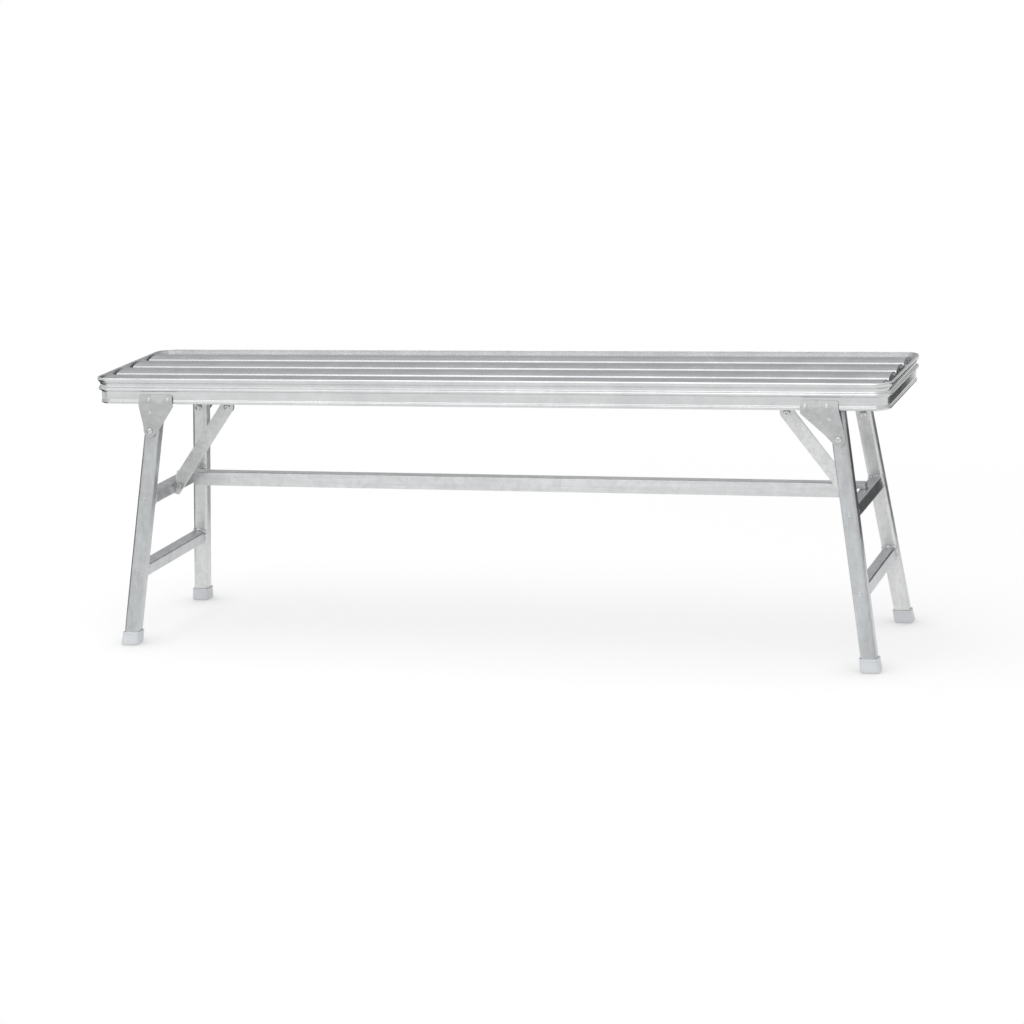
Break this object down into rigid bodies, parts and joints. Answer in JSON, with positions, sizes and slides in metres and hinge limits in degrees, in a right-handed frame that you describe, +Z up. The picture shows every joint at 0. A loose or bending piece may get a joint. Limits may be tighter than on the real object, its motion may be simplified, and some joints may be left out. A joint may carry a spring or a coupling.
{
  "type": "folding bench",
  "caption": "Long slatted metal bench with a beaded band round the seat, leaning folding leg frames, diagonal stays and a stretcher.",
  "frame": {"origin": "on the floor under the middle of the seat, bench standing unfolded", "axes": "+X along the seat to the right, +Y to the rear, +Z up"},
  "size_m": [1.3, 0.3162, 0.4399],
  "materials": {
    "band_steel": "galvanised, bright rolled strip with fine spangle",
    "slat_steel": "galvanised, bright rolled strip with fine spangle",
    "tube_steel": "galvanised, satin",
    "plate_steel": "galvanised, matt spangled",
    "rivet_steel": "zinc plated",
    "cap_plastic": "moulded, matt pale grey"
  },
  "bodies": {
    "seat": {"left_end_rib": "tube_steel", "left_front_gusset": "plate_steel", "left_front_leg_rivet": "rivet_steel", "left_hanger": "plate_steel", "left_hanger_rib": "plate_steel", "left_rear_gusset": "plate_steel", "left_rear_leg_rivet": "rivet_steel", "left_stay_rivet": "rivet_steel", "middle_rib": "tube_steel", "right_end_rib": "tube_steel", "right_front_gusset": "plate_steel", "right_front_leg_rivet": "rivet_steel", "right_hanger": "plate_steel", "right_hanger_rib": "plate_steel", "right_rear_gusset": "plate_steel", "right_rear_leg_rivet": "rivet_steel", "right_stay_rivet": "rivet_steel", "seat_band": "band_steel", "slat_1": "slat_steel", "slat_2": "slat_steel", "slat_3": "slat_steel", "slat_4": "slat_steel"},
    "left_frame": {"left_front_foot_cap": "cap_plastic", "left_front_leg": "tube_steel", "left_keeper": "plate_steel", "left_lower_crossbar": "tube_steel", "left_rear_foot_cap": "cap_plastic", "left_rear_leg": "tube_steel", "left_upper_crossbar": "tube_steel"},
    "right_frame": {"right_front_foot_cap": "cap_plastic", "right_front_leg": "tube_steel", "right_keeper": "plate_steel", "right_lower_crossbar": "tube_steel", "right_rear_foot_cap": "cap_plastic", "right_rear_leg": "tube_steel", "right_upper_crossbar": "tube_steel"},
    "left_stay": {"left_stay": "plate_steel"},
    "right_stay": {"right_stay": "plate_steel"},
    "stretcher": {"stretcher": "tube_steel"}
  },
  "joints": [
    {"name": "left_fold", "type": "hinge", "parent": "seat", "child": "left_frame", "pos_m": [-0.565, 0, 0.35], "axis": [0, -1, 0], "range_deg": [0, 97.73]},
    {"name": "right_fold", "type": "hinge", "parent": "seat", "child": "right_frame", "pos_m": [0.565, 0, 0.35], "axis": [0, 1, 0], "range_deg": [0, 97.73]},
    {"name": "left_stay_swing", "type": "hinge", "parent": "seat", "child": "left_stay", "pos_m": [-0.467, 0, 0.372], "axis": [0, -1, 0], "range_deg": [0, 130.91]},
    {"name": "right_stay_swing", "type": "hinge", "parent": "seat", "child": "right_stay", "pos_m": [0.467, 0, 0.372], "axis": [0, 1, 0], "range_deg": [0, 130.91]},
    {"name": "stretcher_lift", "type": "slide", "parent": "seat", "child": "stretcher", "axis": [0, 0, 1], "range_m": [0, 0.1286]}
  ],
  "couplings": [
    {"joint": "right_fold", "follows": "left_fold", "ratio": 1},
    {"joint": "left_stay_swing", "follows": "left_fold", "ratio": 1.3394},
    {"joint": "right_stay_swing", "follows": "left_fold", "ratio": 1.3394},
    {"joint": "stretcher_lift", "follows": "left_fold", "m_per_rad": 0.07534}
  ]
}
